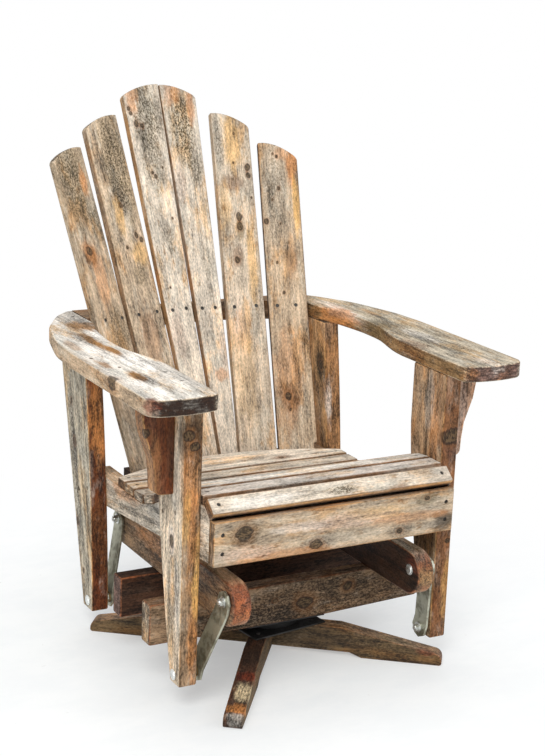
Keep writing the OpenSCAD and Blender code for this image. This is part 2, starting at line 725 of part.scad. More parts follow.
// Room of the slats in the back rails: each one's back plane, carried past its edges and down past its foot
slat_side_room = 8;
rail_end_room = 70;
rail_reach = 200;
room_low_s = -460;
room_high_s = 60;
module slat_room(row) {
  left = row == back_rows[0] ? rail_end_room : slat_side_room;
  right = row == back_rows[5] ? rail_end_room : slat_side_room;
  in_slat_plane(slat_t + rail_reach) polygon([
    [slat_edge(row, 0, room_low_s) - left, room_low_s], [slat_edge(row, 1, room_low_s) + right, room_low_s],
    [slat_edge(row, 1, 0) + right, 0], [slat_edge(row, 1, room_high_s) + right, room_high_s],
    [slat_edge(row, 0, room_high_s) - left, room_high_s], [slat_edge(row, 0, 0) - left, 0]]);
}

module back_rail(half_w, y, end_y, z) difference() {
  translate([-half_w, y, z]) cube([2 * half_w, end_y - y, lumber_t]);
  for (row = back_rows) on_back_slat(row) {
    slat_room(row);
    row_screws(row) screw_room(back_screw_l);
  }
}

lower_rail_z = 289;
lower_rail_y = 380;
lower_rail_end_y = 504;
upper_rail_z = arm_top_z - lumber_t;
upper_rail_y = 450;
arm_end_y = 640;
module upper_back_rail() color(weathered) place() back_rail(arm_inner, upper_rail_y, arm_end_y, upper_rail_z);
// Its left end is notched on top, where the floor shows beside the first slat's foot
end_notch_w = 30;
end_notch_h = 26;
module lower_back_rail() color(old_brown) place() difference() {
  back_rail(rail_in, lower_rail_y, lower_rail_end_y, lower_rail_z);
  translate([-rail_in - 1, lower_rail_y - 1, lower_rail_z + lumber_t - end_notch_h])
    cube([end_notch_w + 1, lower_rail_end_y - lower_rail_y + 2, end_notch_h + 1]);
}

// Arms: a bowed front edge, a waist on the inner edge and a long round at the outer rear corner.
// The edges are smooth curves through points: the share of the arm's width from its inner edge, and the place
// from front to back.
arm_bow = 11;
inner_edge_pts = [[0, 150], [0, 165], [0.042, 208], [0.127, 253], [0.169, 275], [0.204, 300], [0.218, 360],
  [0.183, 412], [0.127, 463], [0.035, 502], [0, 530], [0, 545]];
outer_edge_pts = [[1, 280], [1, 310], [0.972, 350], [0.944, 392], [0.831, 455], [0.704, 517], [0.535, 560],
  [0.359, 602], [0.197, 626], [0.099, 637], [0, 640], [-0.1, 640]];

function spline(a, b, c, d, t) = (2 * b + (c - a) * t + (2 * a - 5 * b + 4 * c - d) * t * t
  + (3 * b - a - 3 * c + d) * t * t * t) / 2;
function smooth(v, n = 3) = concat(
  [for (i = [1:len(v) - 3], k = [0:n - 1]) spline(v[i - 1], v[i], v[i + 1], v[i + 2], k / n)],
  [v[len(v) - 2]]);

module arm_outline() {
  w = arm_outer - arm_inner;
  front = [0, 0.015, 0.04, 0.085, 0.16, 0.28, 0.4, 0.5, 0.6, 0.72, 0.84, 0.9, 0.94, 0.97, 0.99, 1];
  polygon(concat(
    [for (f = front) [arm_inner + w * f,
      -arm_front + arm_bow * pow(2 * f - 1, 2) + round_off(w * f, 12) + round_off(w * (1 - f), 20)]],
    [for (p = smooth(outer_edge_pts)) [arm_inner + w * p[0], p[1]]],
    [for (p = backwards(smooth(inner_edge_pts))) [arm_inner + w * max(p[0], 0), p[1]]]));
}

module arm(side) color(bleached) place() on_side(side) difference() {
  translate([0, 0, arm_under_z]) linear_extrude(arm_t) arm_outline();
  arm_screw_places() screw_room(arm_screw_l);
}

module arm_left() arm(-1);
module arm_right() arm(1);

foot_beam_a();
foot_beam_b();
swivel_lower_plate();
swivel_balls();
swivel_hub();
base_screws();
swivel_upper_plate();
cross_beam_front();
cross_beam_rear();
side_rail_left();
side_rail_right();
frame_screws();
plate_screws();
upper_pivot_bolts();
upper_pivot_nuts();
front_link_left();
front_link_right();
front_link_bushings();
rear_link_left();
rear_link_right();
rear_link_bushings();
front_leg_left();
front_leg_right();
rear_leg_left();
rear_leg_right();
seat_rail_left();
seat_rail_right();
apron();
nose_slat();
seat_slat_1();
seat_slat_2();
seat_slat_3();
seat_slat_4();
seat_slat_5();
seat_slat_6();
seat_slat_7();
seat_slat_8();
rear_seat_slat();
back_slat_1();
back_slat_2();
back_slat_3();
back_slat_4();
back_slat_5();
back_slat_6();
upper_back_rail();
lower_back_rail();
arm_left();
arm_right();
bracket_left();
bracket_right();
seat_screws();
back_screws();
arm_screws();
leg_screws();
apron_screws();
lower_pivot_bolts();
lower_pivot_nuts();
lower_pivot_spacers();
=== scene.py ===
"""Weathered garden glider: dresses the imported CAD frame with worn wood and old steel."""

import json
import math

import bmesh
import bpy
import numpy as np
from mathutils import Matrix, Vector


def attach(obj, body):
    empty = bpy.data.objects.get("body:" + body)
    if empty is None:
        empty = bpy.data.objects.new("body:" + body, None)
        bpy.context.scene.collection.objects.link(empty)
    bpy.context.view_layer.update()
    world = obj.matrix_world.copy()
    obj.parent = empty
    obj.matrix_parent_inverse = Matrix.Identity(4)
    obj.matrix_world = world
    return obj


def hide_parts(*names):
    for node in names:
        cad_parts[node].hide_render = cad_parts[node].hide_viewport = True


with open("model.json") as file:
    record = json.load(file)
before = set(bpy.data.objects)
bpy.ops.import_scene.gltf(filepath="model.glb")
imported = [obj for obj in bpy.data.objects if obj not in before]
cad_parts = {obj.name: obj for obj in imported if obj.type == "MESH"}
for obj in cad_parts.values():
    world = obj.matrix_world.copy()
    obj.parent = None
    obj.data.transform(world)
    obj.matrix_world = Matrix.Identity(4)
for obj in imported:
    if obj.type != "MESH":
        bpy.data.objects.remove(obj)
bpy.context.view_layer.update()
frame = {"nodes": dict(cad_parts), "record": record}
nodes = frame["nodes"]
body_of_node = {n: b for b, names in frame["record"]["behaviour"]["bodies"].items() for n in names}
slot_of_node = {s["node"]: s["material_slot"] for s in frame["record"]["subparts"]}

MM_PER_M = 1000
WHITE = (1.0, 1.0, 1.0)

# The camera solved from the photograph, in metres and degrees. It was solved from the front legs' faces, which lie
# at this y of the row frame.
FRONT_LEG_Y = -0.3614
CAMERA_PLACE = (-1.5788, -2.5768 + FRONT_LEG_Y, 1.4398)
CAMERA_AZIMUTH, CAMERA_PITCH, CAMERA_ROLL = -29.4, 15.0, 2.4
FOCAL_PX, FRAME_HEIGHT_PX = 1649.7, 756.0
SENSOR_MM = 24.0
CLIP_END = 200

# Lamps: place, aim, side of the square, power, colour
LAMPS = {
    "key": ((-2.2, -2.6, 3.4), (0, 0, 0.5), 2.2, 122, (1.0, 0.98, 0.95)),
    "fill": ((3.0, -1.8, 2.2), (0, 0, 0.5), 2.4, 34, (0.95, 0.97, 1.0)),
    "top": ((0.2, 0.8, 3.6), (0, 0, 0.4), 2.5, 58, WHITE),
}
WORLD_COLOUR, WORLD_STRENGTH = (0.93, 0.96, 1.0), 0.4

# The floor's tones, and its share of white at two distances from the middle
FLOOR_SIZE, FLOOR_SEGMENTS = 60, 8
FLOOR_LOW, FLOOR_HIGH, FLOOR_DIRT = (0.89, 0.93, 0.94), (0.95, 0.98, 0.98), (0.3, 0.29, 0.27)
FLOOR_ROUGHNESS = 0.6
FLOOR_FADE = ((0.3, 0.38), (1.1, 1.0))


# ---------------------------------------------------------------- shader graph helper
class Graph:
    """Builds the nodes of a material or a world; values may be numbers, colours or sockets."""

    def __init__(self, owner):
        self.owner = owner
        owner.use_nodes = True
        self.tree = owner.node_tree
        self.tree.nodes.clear()

    def node(self, kind, **settings):
        n = self.tree.nodes.new(kind)
        for key, value in settings.items():
            setattr(n, key, value)
        return n

    def put(self, socket, value):
        if isinstance(value, bpy.types.NodeSocket):
            self.tree.links.new(value, socket)
        else:
            socket.default_value = value

    def coords(self, which):
        return self.node("ShaderNodeTexCoord").outputs[which]

    def attribute(self, name):
        return self.node("ShaderNodeAttribute", attribute_name=name).outputs["Vector"]

    def seen(self):
        """1 for what the camera sees, also in a mirror or through glass."""
        path = self.node("ShaderNodeLightPath").outputs
        direct = self.math("MAXIMUM", path["Is Camera Ray"], path["Is Glossy Ray"])
        return self.math("MAXIMUM", direct, path["Is Transmission Ray"])

    def math(self, op, a, b=None):
        n = self.node("ShaderNodeMath", operation=op)
        self.put(n.inputs[0], a)
        if b is not None:
            self.put(n.inputs[1], b)
        return n.outputs[0]

    def plus(self, a, b):
        return self.math("ADD", a, b)

    def minus(self, a, b):
        return self.math("SUBTRACT", a, b)

    def times(self, a, b):
        return self.math("MULTIPLY", a, b)

    def vec(self, op, a, b):
        n = self.node("ShaderNodeVectorMath", operation=op)
        self.put(n.inputs[0], a)
        self.put(n.inputs[1], b)
        return n.outputs["Value"] if op == "DOT_PRODUCT" else n.outputs[0]

    def scaled(self, v, by):
        return self.vec("MULTIPLY", v, by)

    def length(self, v):
        n = self.node("ShaderNodeVectorMath", operation="LENGTH")
        self.put(n.inputs[0], v)
        return n.outputs["Value"]

    def split(self, v):
        n = self.node("ShaderNodeSeparateXYZ")
        self.put(n.inputs[0], v)
        return n.outputs

    def triple(self, value):
        """A number as a vector of three."""
        n = self.node("ShaderNodeCombineXYZ")
        for socket in n.inputs:
            self.put(socket, value)
        return n.outputs[0]

    def noise(self, v, scale=1.0, detail=3.0, rough=0.55):
        n = self.node("ShaderNodeTexNoise")
        self.put(n.inputs["Vector"], v)
        n.inputs["Scale"].default_value = scale
        n.inputs["Detail"].default_value = detail
        n.inputs["Roughness"].default_value = rough
        return n.outputs[0]

    def ramp(self, v, low, high, smooth=True):
        """v mapped from low = (place, value) to high = (place, value), held outside them."""
        n = self.node("ShaderNodeMapRange", interpolation_type="SMOOTHSTEP" if smooth else "LINEAR")
        self.put(n.inputs["Value"], v)
        n.inputs["From Min"].default_value, n.inputs["From Max"].default_value = low[0], high[0]
        n.inputs["To Min"].default_value, n.inputs["To Max"].default_value = low[1], high[1]
        return n.outputs[0]

    def rising(self, v, low, high):
        """0 below low, 1 above high."""
        return self.ramp(v, (low, 0.0), (high, 1.0))

    def falling(self, v, low, high):
        """1 below low, 0 above high."""
        return self.ramp(v, (low, 1.0), (high, 0.0))

    def mix(self, a, b, fac):
        n = self.node("ShaderNodeMix", data_type="RGBA", clamp_factor=True)
        self.put(n.inputs["Factor"], fac)
        for socket, v in ((n.inputs[6], a), (n.inputs[7], b)):
            self.put(socket, v if isinstance(v, bpy.types.NodeSocket) else (*v, 1.0))
        return n.outputs[2]

    def bump(self, height, distance, strength):
        n = self.node("ShaderNodeBump")
        n.inputs["Distance"].default_value = distance
        n.inputs["Strength"].default_value = strength
        self.put(n.inputs["Height"], height)
        return n.outputs[0]

    def surface(self, colour, roughness, metallic=0.0, normal=None, specular=0.5):
        n = self.node("ShaderNodeBsdfPrincipled")
        self.put(n.inputs["Base Color"], colour)
        self.put(n.inputs["Roughness"], roughness)
        n.inputs["Metallic"].default_value = metallic
        n.inputs["Specular IOR Level"].default_value = specular
        if normal is not None:
            self.put(n.inputs["Normal"], normal)
        return n.outputs[0]

    def light(self, kind, colour, strength=1.0):
        n = self.node(kind)
        n.inputs["Color"].default_value = (*colour, 1.0)
        n.inputs["Strength"].default_value = strength
        return n.outputs[0]

    def mix_shader(self, fac, a, b):
        n = self.node("ShaderNodeMixShader")
        for socket, value in zip(n.inputs, (fac, a, b)):
            self.put(socket, value)
        return n.outputs[0]

    def finish(self, shader, kind="ShaderNodeOutputMaterial"):
        self.put(self.node(kind).inputs["Surface"], shader)
        return self.owner


# ---------------------------------------------------------------- camera, floor, light
def link(name, data):
    obj = bpy.data.objects.new(name, data)
    bpy.context.scene.collection.objects.link(obj)
    return obj


def make_camera():
    azimuth, pitch, roll = (math.radians(v) for v in (CAMERA_AZIMUTH, CAMERA_PITCH, CAMERA_ROLL))
    forward = Vector((-math.sin(azimuth) * math.cos(pitch), math.cos(azimuth) * math.cos(pitch), -math.sin(pitch)))
    level_right = Vector((math.cos(azimuth), math.sin(azimuth), 0.0))
    level_up = level_right.cross(forward)
    right = level_right * math.cos(roll) + level_up * math.sin(roll)
    up = level_up * math.cos(roll) - level_right * math.sin(roll)
    cam = bpy.data.cameras.new("camera")
    cam.sensor_fit = "VERTICAL"
    cam.sensor_height = SENSOR_MM
    cam.lens = FOCAL_PX / FRAME_HEIGHT_PX * cam.sensor_height
    cam.clip_end = CLIP_END
    obj = link("camera", cam)
    turn = Matrix((right, up, -forward)).transposed().to_4x4()
    obj.matrix_world = Matrix.Translation(CAMERA_PLACE) @ turn
    bpy.context.scene.camera = obj


def make_lamps():
    for name, (place, aim, size, power, colour) in LAMPS.items():
        lamp = bpy.data.lights.new(name, "AREA")
        lamp.size = size
        lamp.energy = power
        lamp.color = colour
        obj = link(name, lamp)
        obj.location = place
        obj.rotation_euler = (Vector(aim) - Vector(place)).to_track_quat("-Z", "Y").to_euler()


def make_floor():
    """A pale floor with faint scuffs and dust, which fades to white away from the chair."""
    mesh = bpy.data.meshes.new("floor")
    bm = bmesh.new()
    bmesh.ops.create_grid(bm, x_segments=FLOOR_SEGMENTS, y_segments=FLOOR_SEGMENTS, size=FLOOR_SIZE)
    bm.to_mesh(mesh)
    bm.free()
    floor = link("floor", mesh)
    g = Graph(bpy.data.materials.new("floor"))
    where = g.coords("Object")
    far = g.ramp(g.length(where), *FLOOR_FADE)
    scuff = g.noise(g.scaled(where, (5, 9, 5)), detail=6.0, rough=0.7)
    dust = g.noise(g.scaled(where, (60, 60, 60)), detail=2.0, rough=0.5)
    dirt = g.times(g.ramp(dust, (0.70, 0.0), (0.75, 0.5)), g.rising(scuff, 0.5, 0.6))
    pale = g.mix(FLOOR_LOW, FLOOR_HIGH, g.rising(scuff, 0.4, 0.6))
    lit = g.surface(g.mix(pale, FLOOR_DIRT, dirt), FLOOR_ROUGHNESS)
    white = g.light("ShaderNodeEmission", WHITE)
    mesh.materials.append(g.finish(g.mix_shader(g.times(far, g.seen()), lit, white)))


def make_world():
    """Soft light from all round, and a white background."""
    world = bpy.data.worlds.new("world")
    bpy.context.scene.world = world
    g = Graph(world)
    lit = g.light("ShaderNodeBackground", WORLD_COLOUR, WORLD_STRENGTH)
    white = g.light("ShaderNodeBackground", WHITE)
    g.finish(g.mix_shader(g.seen(), lit, white), "ShaderNodeOutputWorld")


# ---------------------------------------------------------------- shapes of boards and steel pieces
# Angles in degrees: edges sharper than SHARP_ANGLE are rounded, faces within FLAT_ANGLE are joined first
SHARP_ANGLE, FLAT_ANGLE = 30, 1.0
# Edges shorter than this in mm are facets of holes
BOARD_HOLE_MM, STEEL_HOLE_MM = 1.9, 0.4
JOIN_DISTANCE = 1e-5
BEVEL_SEGMENTS = 3
NEARLY_ONE = 0.999
WEIGHT_OF_LARGE_FACES = 80


def straightened(axis):
    """An axis set exactly on the frame's axis that it nearly is, and turned to the positive side."""
    if abs(axis).max() > NEARLY_ONE:
        axis = np.sign(axis) * (abs(axis) > 0.5)
    return axis * (1 if axis[np.argmax(abs(axis))] > 0 else -1)


def board_axes(mesh, along=None):
    """Middle of a board and its axes along, across and through, from its area moments."""
    mesh.calc_loop_triangles()
    tris = np.array([[mesh.vertices[i].co for i in t.vertices] for t in mesh.loop_triangles])
    cross = np.cross(tris[:, 1] - tris[:, 0], tris[:, 2] - tris[:, 0])
    area = np.linalg.norm(cross, axis=1) / 2
    centre = (tris.mean(axis=1) * area[:, None]).sum(0) / area.sum()
    spread = np.zeros((3, 3))
    for corner in range(3):
        d = tris[:, corner] - centre
        spread += (d[:, :, None] * d[:, None, :] * area[:, None, None]).sum(0)
    _, vectors = np.linalg.eigh(spread)
    a = np.array(along, float) if along else vectors[:, 2]
    t = vectors[:, 0] - a * (vectors[:, 0] @ a)
    t /= np.linalg.norm(t)
    a, t = straightened(a), straightened(t)
    return centre, a, np.cross(t, a), t


def dress(name, material, round_mm, hole_mm, along=None, keep=None):
    """A copy of a CAD node with its edges rounded and the board coordinates stored on it. Edges shorter than
    hole_mm stay as they are, such as the facets of holes, and so do those whose place through the board keep
    turns down."""
    mesh = nodes[name].data.copy()
    mesh.name = name + "_worn"
    mesh.materials.clear()
    centre, a, c, t = board_axes(mesh, along)
    bm = bmesh.new()
    bm.from_mesh(mesh)
    bmesh.ops.remove_doubles(bm, verts=bm.verts, dist=JOIN_DISTANCE)
    bmesh.ops.dissolve_limit(bm, angle_limit=math.radians(FLAT_ANGLE), verts=bm.verts, edges=bm.edges)
    sharp = [
        e for e in bm.edges
        if len(e.link_faces) == 2 and e.calc_face_angle(0) > math.radians(SHARP_ANGLE)
        and e.calc_length() > hole_mm / MM_PER_M
    ]
    if keep is not None:
        sharp = [e for e in sharp if keep(float((np.array((e.verts[0].co + e.verts[1].co) / 2) - centre) @ t))]
    bmesh.ops.bevel(
        bm, geom=sharp, offset=round_mm / MM_PER_M, segments=BEVEL_SEGMENTS, profile=0.5, affect="EDGES",
        clamp_overlap=True)
    for f in bm.faces:
        f.smooth = True
    bm.to_mesh(mesh)
    bm.free()
    # The CAD solid's own normals don't fit the rounded copy
    if "custom_normal" in mesh.attributes:
        mesh.attributes.remove(mesh.attributes["custom_normal"])
    places = mesh.attributes.new("board", "FLOAT_VECTOR", "POINT")
    flat = np.array([v.co for v in mesh.vertices]) - centre
    places.data.foreach_set("vector", np.stack([flat @ a, flat @ c, flat @ t], axis=1).ravel())
    mesh.materials.append(material)
    piece = link(name + "_worn", mesh)
    weigh = piece.modifiers.new("normals", "WEIGHTED_NORMAL")
    weigh.keep_sharp = True
    weigh.weight = WEIGHT_OF_LARGE_FACES
    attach(piece, body_of_node[name])
    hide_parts(name)


# ---------------------------------------------------------------- wood
# Each pattern's stretch along, across and through a board (higher is finer), its detail and its roughness
PATTERNS = {
    "ragged": ((25, 70, 70), 4.0, 0.6), "slow": ((2.4, 12, 12), 2.0, 0.55), "grain": ((11, 240, 240), 5.0, 0.66),
    "broad": ((7.5, 62, 62), 4.0, 0.62), "cloud": ((13, 34, 34), 5.0, 0.7), "check": ((3.5, 330, 330), 2.0, 0.5),
    "speck": ((150, 330, 330), 3.0, 0.6), "moss": ((190, 300, 300), 4.0, 0.68), "patch": ((6, 17, 17), 5.0, 0.66),
    "patch2": ((9, 26, 26), 5.0, 0.66), "fleck": ((40, 95, 95), 4.0, 0.7), "saw": ((300, 46, 300), 4.0, 0.65),
}

# How strongly each pattern lightens and darkens the wood
TONE_STRENGTH = {"grain": 1.25, "broad": 1.5, "speck": 1.9, "cloud": 2.1}

# Display colours of what all boards share
INKS = {
    "silver": (186, 182, 172), "bleached": (232, 224, 212), "crack": (44, 32, 24), "saw": (38, 27, 21),
    "halo": (150, 100, 56), "heart": (46, 36, 26), "pale heart": (104, 82, 56), "rim": (36, 24, 18),
}

# What the wood's colour is multiplied by in each kind of patch; the darkening towards a face's long edges is dirt
# together with painted crease shade
WARM_SHADE, SILVER_SHADE, PALE_SHADE = (1.1, 0.84, 0.56), (0.9, 0.92, 0.92), (1.25, 1.25, 1.25)
FLECK_SHADE, DIRT_AND_CREASE_SHADE, DOT_SHADE = (0.6, 0.47, 0.34), (0.5, 0.42, 0.34), (0.66, 0.6, 0.5)

RING_WIDTH = 0.006
KNOT_SIZE = 1.3
BUMP_DEPTH, BUMP_STRENGTH = 0.0013, 0.85
WOOD_SPECULAR = 0.3


def srgb(colour):
    """A display colour, 0 to 255, as linear light."""
    return tuple((v / 255) / 12.92 if v <= 10 else ((v / 255 + 0.055) / 1.055) ** 2.4 for v in colour)


class Wood(Graph):
    """Weathered wood on one board. Its coordinates run along, across and through the board from its middle."""

    def __init__(self, name, seed, axes):
        super().__init__(bpy.data.materials.new(name))
        self.seed = seed
        self.axes = axes
        self.board = self.attribute("board")
        self.normal = self.coords("Normal")
        # Each board is cut from its own place of the patterns
        self.shift = (seed * 3.17 % 11, seed * 7.31 % 13, seed * 1.93 % 7)
        self.free = self.vec("ADD", self.board, self.shift)
        self.ragged = self.minus(self.pattern("ragged", self.free), 0.5)

    def pattern(self, name, where):
        stretch, detail, rough = PATTERNS[name]
        return self.noise(self.scaled(where, stretch), detail=detail, rough=rough)

    def on_board(self, place):
        centre, *directions = self.axes
        return tuple(float((np.array(place) - centre) @ k) for k in directions)

    def facing(self, direction):
        """How squarely a face looks along one of the board's axes."""
        return self.math("ABSOLUTE", self.vec("DOT_PRODUCT", self.normal, tuple(direction)))

    def ellipse(self, at, sizes, amount):
        """Ragged distance from a mark, 1 on its rim."""
        off = self.vec("SUBTRACT", self.board, at)
        d = self.length(self.scaled(off, tuple(1.0 / v for v in sizes)))
        return self.plus(d, self.times(self.ragged, amount))

    def part_round(self, knots):
        """The grain's coordinates, parted round each knot, and each knot's ragged distance."""
        flow = self.board
        distances = []
        for x, y, z, radius in knots:
            at = self.on_board((x, y, z))
            r = KNOT_SIZE * radius / MM_PER_M
            near = self.ellipse(at, (3.4 * r, 2.2 * r, 2.2 * r), 0.25)
            pull = self.ramp(near, (0.2, 0.8), (1.5, 0.0))
            off = self.scaled(self.vec("SUBTRACT", self.board, at), (0, 1, 1))
            flow = self.vec("SUBTRACT", flow, self.scaled(off, self.triple(pull)))
            distances.append(self.ellipse(at, (1.0 * r, 0.75 * r, 1.2 * r), 1.7))
        return flow, distances

    def late_wood(self, flow, slow, broad):
        """The dark side of each year ring, round a pith beside the board, at another place for each board."""
        _, c, t = self.split(flow)
        pith_c, pith_t = (self.seed * 37 % 23 - 11) / 400, 0.05 + (self.seed * 17 % 9) / 200
        dc = self.minus(self.plus(c, self.times(slow, 0.05)), pith_c)
        dt = self.minus(self.plus(t, self.times(slow, 0.012)), pith_t)
        radius = self.math("SQRT", self.plus(self.times(dc, dc), self.times(dt, dt)))
        saw = self.math("FRACT", self.plus(self.math("DIVIDE", radius, RING_WIDTH), self.times(broad, 1.6)))
        return self.times(self.math("POWER", saw, 3.0), self.falling(saw, 0.9, 1.0))

    def add_stain(self, colour, moss, x, y, z, half_length, half_width, tint, strength, mottled=False):
        """A stain in mm round a place; a mottled one is a haze with darker dots."""
        long, wide = 1.15 * (half_length / MM_PER_M), 1.25 * (half_width / MM_PER_M)
        d = self.ellipse(self.on_board((x, y, z)), (long, wide, wide), 1.6)
        mask = self.times(self.falling(d, 0.5, 1.2), strength)
        if not mottled:
            return self.mix(colour, srgb(TINTS[tint]), mask)
        colour = self.mix(colour, srgb(TINTS[tint]), self.times(mask, 0.4))
        dots = self.rising(self.plus(moss, self.times(self.ragged, 0.25)), 0.46, 0.56)
        deep = tuple(k * v for k, v in zip(DOT_SHADE, TINTS[tint]))
        return self.mix(colour, srgb(deep), self.times(mask, dots))

    def add_knot(self, colour, height, d, speck):
        """A knot's halo, its mottled heart and its dark, sunken rim, by the distance d from its middle."""
        halo = self.times(self.falling(d, 1.0, 2.3), self.rising(d, 0.9, 1.1))
        colour = self.mix(colour, srgb(INKS["halo"]), self.times(halo, 0.35))
        heart = self.mix(srgb(INKS["heart"]), srgb(INKS["pale heart"]), self.rising(speck, 0.4, 0.6))
        colour = self.mix(colour, heart, self.times(self.falling(d, 0.8, 1.05), 0.9))
        rim = self.times(self.rising(d, 0.75, 0.98), self.falling(d, 1.05, 1.3))
        return self.mix(colour, srgb(INKS["rim"]), self.times(rim, 0.75)), self.minus(height, rim)


def wood(name, seed, look, marks, axes, halves, edge, cut, rough, contrast):
    """The material of one board. look holds the display colours of its faces, sides and ends, with painted light and
    shade in them besides the wood's own tones, halves its half width and half thickness in metres, edge the colour of
    its worn edges with a painted highlight, cut how dark the saw left its ends."""
    g = Wood(name, seed, axes)
    knots = [m for m in marks if len(m) == 4]
    stains = [m for m in marks if len(m) > 4]
    parted, distances = g.part_round(knots)
    flow = g.vec("ADD", parted, g.shift)
    grain, broad, cloud = (g.pattern(key, flow) for key in ("grain", "broad", "cloud"))
    speck, moss, patch, patch2, fleck = (
        g.pattern(key, g.free) for key in ("speck", "moss", "patch", "patch2", "fleck"))
    late = g.late_wood(parted, g.minus(g.pattern("slow", flow), 0.5), broad)

    # Colour of each kind of face, with painted light and shade in the face, side and end tones besides the wood's own,
    # and of worn edges, which carry a painted highlight
    n_along, n_across, n_through = (g.facing(axis) for axis in axes[1:])
    colour = g.mix(srgb(look[1]), srgb(look[0]), g.rising(n_through, 0.6, 0.78))
    is_end = g.rising(n_along, 0.62, 0.8)
    colour = g.mix(colour, srgb(look[2]), is_end)
    squarest = g.math("MAXIMUM", n_through, g.math("MAXIMUM", n_along, n_across))
    # Rounded edges turn to the edge tone: worn wood, and where that tone is pale, a painted highlight along the
    # rounding
    worn = g.times(g.falling(squarest, 0.86, 0.97), g.ramp(broad, (0.35, 0.25), (0.6, 1.0)))
    colour = g.mix(colour, srgb(edge), g.times(worn, 0.7))

    # Patches of warm and of silvered wood, less silver on darker boards
    lightness = min(1.0, srgb(look[0])[1] / 0.4)
    silvered = g.mix(g.scaled(colour, SILVER_SHADE), srgb(INKS["silver"]), 0.3 * lightness)
    colour = g.mix(colour, g.scaled(colour, WARM_SHADE), g.times(g.rising(patch, 0.5, 0.64), 0.75))
    colour = g.mix(colour, silvered, g.times(g.rising(patch2, 0.5, 0.62), 0.8))
    for stain in stains:
        colour = g.add_stain(colour, moss, *stain)

    # Dark and pale flecks
    flecks = g.times(g.rising(fleck, 0.57, 0.66), g.ramp(patch, (0.4, 0.25), (0.58, 1.0)))
    colour = g.mix(colour, g.scaled(colour, FLECK_SHADE), g.times(flecks, 0.8))
    pale = g.times(g.falling(fleck, 0.34, 0.43), g.ramp(patch2, (0.45, 0.3), (0.6, 1.0)))
    bleached = g.mix(g.scaled(colour, PALE_SHADE), srgb(INKS["bleached"]), 0.3 * lightness)
    colour = g.mix(colour, bleached, g.times(pale, 0.6))

    # Darker towards the long edges of a face: dirt, and painted shade for the creases between boards
    _, place_c, place_t = g.split(g.board)
    rim_c = g.math("DIVIDE", g.math("ABSOLUTE", place_c), halves[0])
    rim_t = g.math("DIVIDE", g.math("ABSOLUTE", place_t), halves[1])
    rim = g.mix(g.rising(rim_t, 0.55, 0.97), g.rising(rim_c, 0.72, 0.97), g.rising(n_through, 0.75, 0.9))
    dirt_and_crease_shade = g.times(g.rising(cloud, 0.42, 0.6), rim)
    colour = g.mix(colour, g.scaled(colour, DIRT_AND_CREASE_SHADE), g.times(dirt_and_crease_shade, 0.6))

    # Light and dark grain, checks and saw marks
    tone = 1.0
    for key, value in (("grain", grain), ("broad", broad), ("speck", speck), ("cloud", cloud)):
        tone = g.plus(g.times(g.minus(value, 0.5), TONE_STRENGTH[key] * contrast), tone)
    rings = g.times(late, g.ramp(patch, (0.4, 0.2), (0.6, 1.0)))
    tone = g.ramp(g.minus(tone, g.times(rings, 0.3 * contrast)), (0.25, 0.25), (1.9, 1.9), smooth=False)
    colour = g.scaled(colour, g.triple(tone))
    crack = g.times(g.falling(g.pattern("check", flow), 0.26, 0.31), g.ramp(patch2, (0.42, 1.0), (0.56, 0.1)))
    colour = g.mix(colour, srgb(INKS["crack"]), g.times(crack, 0.75))
    colour = g.mix(
        colour, srgb(INKS["saw"]), g.times(is_end, g.ramp(g.pattern("saw", g.free), (0.44, cut), (0.6, 0.0))))
    height = g.plus(g.times(grain, 1.1), g.times(speck, 0.5))
    height = g.minus(height, g.plus(g.times(late, 0.4), g.times(crack, 1.2)))
    for d in distances:
        colour, height = g.add_knot(colour, height, d, speck)
    roughness = g.ramp(speck, (0.3, rough + 0.08), (0.7, rough - 0.08))
    normal = g.bump(height, BUMP_DEPTH, BUMP_STRENGTH)
    return g.finish(g.surface(colour, roughness, normal=normal, specular=WOOD_SPECULAR))


# ---------------------------------------------------------------- steel
RUST = (0.10, 0.05, 0.025)
CLOUD_SCALE, STAIN_SCALE, GRIT_SCALE = 38, 140, 560
GRIT_DEPTH, GRIT_STRENGTH = 0.00025, 0.5


def steel(name, colour, dark, rough=0.42, metallic=0.9, spots=0.5):
    """Old plated steel: cloudy colour, dull and rusty stains, and a fine grit."""
    g = Graph(bpy.data.materials.new(name))
    where = g.coords("Object")
    cloud = g.noise(where, CLOUD_SCALE, 4.0, 0.6)
    grit = g.noise(where, GRIT_SCALE, 3.0, 0.6)
    worn = g.noise(where, STAIN_SCALE, 4.0, 0.65)
    mixed = g.mix(colour, dark, g.times(g.rising(cloud, 0.42, 0.64), spots))
    mixed = g.mix(mixed, RUST, g.times(g.rising(worn, 0.62, 0.74), spots * 0.5))
    roughness = g.ramp(worn, (0.3, rough - 0.1), (0.7, rough + 0.15))
    return g.finish(g.surface(mixed, roughness, metallic, g.bump(grit, GRIT_DEPTH, GRIT_STRENGTH)))


# ---------------------------------------------------------------- the chair's boards
# Tones of weathered wood, as display colours
TONES = {
    "frost": (205, 198, 188), "chalk": (212, 198, 180), "cream": (220, 198, 172), "driftwood": (204, 186, 164),
    "silver": (196, 182, 164), "pewter": (188, 178, 168), "weathered": (188, 166, 140), "stone": (176, 164, 144),
    "straw": (195, 168, 138), "rose": (180, 150, 132), "honey": (212, 164, 112), "dun": (164, 134, 104),
    "tan": (152, 124, 96), "oak": (142, 112, 76), "clay": (140, 108, 96), "amber": (176, 134, 90),
    "cinnamon": (158, 114, 74), "terracotta": (204, 128, 78), "umber": (126, 96, 70), "russet": (128, 86, 55),
    "peat": (98, 78, 52), "walnut": (94, 68, 48), "rust": (98, 52, 25), "bark": (70, 46, 32), "soot": (52, 32, 20),
}

